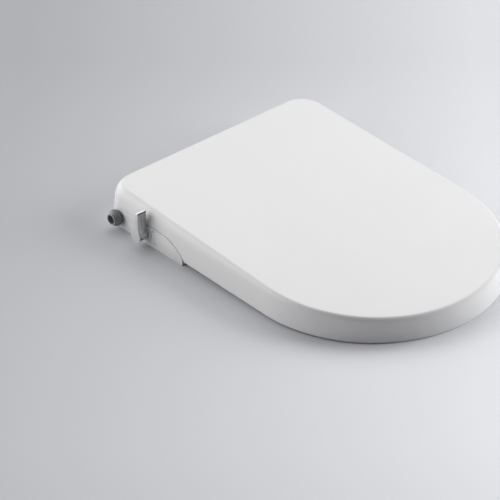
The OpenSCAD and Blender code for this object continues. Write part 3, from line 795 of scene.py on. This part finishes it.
SOFT_EDGES = {
    "base_tray": 0.25, "top_cover": 0.5, "cover_screws": 0.1, "base_pads": 0.3, "mounting_plate": 0.5,
    "plate_pads": 0.3, "release_button": 0.6, "inlet_fitting": 0.2, "inlet_seal": 0.2, "inlet_filter": 0.08,
    "supply_hose": 0.3, "valve_body": 0.4, "valve_spindle": 0.2, "nozzle_cradle": 0.4,
    "rear_nozzle": 0.15, "front_nozzle": 0.15, "nozzle_gate": 0.4, "seat_damper": 0.3, "lid_damper": 0.3,
    "seat_hinge_shaft": 0.2, "lid_hinge_shaft": 0.2, "seat_shaft_clip": 0.1, "lid_shaft_clip": 0.1,
    "seat_bumpers": 0.6, "lid_bumpers": 0.6,
}
for name, width in SOFT_EDGES.items():
    softened(name, width)

NOZZLE_TILT = math.radians(20)
NOZZLE_AXIS = Vector((0.0, -math.cos(NOZZLE_TILT), -math.sin(NOZZLE_TILT)))
for side in ("rear", "front"):
    piece, middle, length = add_spring(side + "_nozzle_spring", NOZZLE_AXIS, 0.6, 8)
    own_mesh(piece)
piece, middle, length = add_spring("release_spring", Vector((1.0, 0.0, 0.0)), 0.35, 6)
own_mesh(piece)
HOSE_R = 2.6
add_hose("rear_wash_hose", HOSE_R)
add_hose("front_wash_hose", HOSE_R)

for name, node in nodes.items():
    slot = next(s["material_slot"] for s in frame["record"]["subparts"] if s["node"] == name)
    node.data.materials.clear()
    node.data.materials.append(MATERIALS[slot])


# ---------------------------------------------------------------- stage

# azimuth from +X towards +Y, elevation, distance (m), side (m), power (W), colour
LIGHTS = {
    "key": (48, 48, 5.0, 3.6, 101, (1.0, 1.0, 1.0)),
    "back": (100, 25, 4.0, 3.3, 76, (1.0, 1.0, 1.0)),
    "left": (145, 24, 2.0, 1.8, 25.5, (1.0, 0.992, 0.985)),
    "right": (-30, 22, 2.0, 1.5, 50, (1.0, 1.0, 1.0)),
}
# Lights that give no glossy reflection, so that the lid's top isn't a white mirror from behind
MATTE_LIGHTS = ("right",)
AIM = Vector((0.0, -0.2, 0.0))
WORLD_STRENGTH = 0.02

# Floor, in metres: painted light, its tone runs from one to the other over the span and gains towards the
# front, standing in for how the floor is lit
FLOOR_HALF = 12.0
FLOOR_PAINTED_LIGHT_TONES = ((0.453, 0.458, 0.485), (0.736, 0.744, 0.772))
FLOOR_RUN = Vector((0.744, -0.668, 0.0))
FLOOR_SPAN = 0.648
FLOOR_DEPTH = Vector((-0.668, -0.744, 0.0))
FLOOR_PAINTED_FRONT_LIGHT = ((-0.334, 0.86), (0.592, 1.14))


def floor_run(tree, coords, direction, low, high):
    """Value that goes from low to high along a direction; each is a (distance, value) pair."""
    along = tree.nodes.new("ShaderNodeVectorMath")
    along.operation = "DOT_PRODUCT"
    along.inputs[1].default_value = direction
    span = tree.nodes.new("ShaderNodeMapRange")
    span.inputs["From Min"].default_value, span.inputs["To Min"].default_value = low
    span.inputs["From Max"].default_value, span.inputs["To Max"].default_value = high
    tree.links.new(coords.outputs["Object"], along.inputs[0])
    tree.links.new(along.outputs["Value"], span.inputs["Value"])
    return span.outputs["Result"]


def add_floor():
    """Plain sheet with painted light: its tone grows slowly lighter from the left to the right and towards
    the front.
    """
    mesh = bpy.data.meshes.new("floor")
    corners = [(-1, -1), (1, -1), (1, 1), (-1, 1)]
    mesh.from_pydata([(x * FLOOR_HALF, y * FLOOR_HALF, 0) for x, y in corners], [], [(0, 1, 2, 3)])
    floor = bpy.data.objects.new("floor", mesh)
    bpy.context.scene.collection.objects.link(floor)
    mat = new_material("floor", FLOOR_PAINTED_LIGHT_TONES[0], 0.7, Specular_IOR_Level=0.2)
    tree = mat.node_tree
    coords = tree.nodes.new("ShaderNodeTexCoord")
    middle = FLOOR_RUN.dot(LOOK_AT)
    left, right = middle - FLOOR_SPAN / 2, middle + FLOOR_SPAN / 2
    across = floor_run(tree, coords, FLOOR_RUN, (left, 0.0), (right, 1.0))
    ramp = tree.nodes.new("ShaderNodeValToRGB")
    for stop, colour in zip(ramp.color_ramp.elements, FLOOR_PAINTED_LIGHT_TONES):
        stop.color = (*colour, 1.0)
    # Painted light: the floor's tone is scaled up towards the front
    gain = tree.nodes.new("ShaderNodeVectorMath")
    gain.operation = "SCALE"
    tree.links.new(across, ramp.inputs["Fac"])
    tree.links.new(ramp.outputs["Color"], gain.inputs[0])
    tree.links.new(floor_run(tree, coords, FLOOR_DEPTH, *FLOOR_PAINTED_FRONT_LIGHT), gain.inputs["Scale"])
    tree.links.new(gain.outputs["Vector"], tree.nodes["Principled BSDF"].inputs["Base Color"])
    mesh.materials.append(mat)


def add_light(name, azimuth, elevation, distance, side, power, colour):
    data = bpy.data.lights.new(name, "AREA")
    data.shape = "SQUARE"
    data.size = side
    data.energy = power
    data.color = colour
    az, el = math.radians(azimuth), math.radians(elevation)
    offset = Vector((math.cos(az) * math.cos(el), math.sin(az) * math.cos(el), math.sin(el))) * distance
    lamp = bpy.data.objects.new(name, data)
    lamp.location = AIM + offset
    lamp.rotation_euler = (-offset).to_track_quat("-Z", "Y").to_euler()
    lamp.visible_glossy = name not in MATTE_LIGHTS
    bpy.context.scene.collection.objects.link(lamp)


def add_world():
    world = bpy.data.worlds.new("world")
    world.use_nodes = True
    world.node_tree.nodes["Background"].inputs["Color"].default_value = (0.95, 0.97, 1.0, 1.0)
    world.node_tree.nodes["Background"].inputs["Strength"].default_value = WORLD_STRENGTH
    bpy.context.scene.world = world


bpy.context.scene.view_settings.view_transform = "Standard"
add_camera()
add_floor()
add_world()
for name, setting in LIGHTS.items():
    add_light(name, *setting)
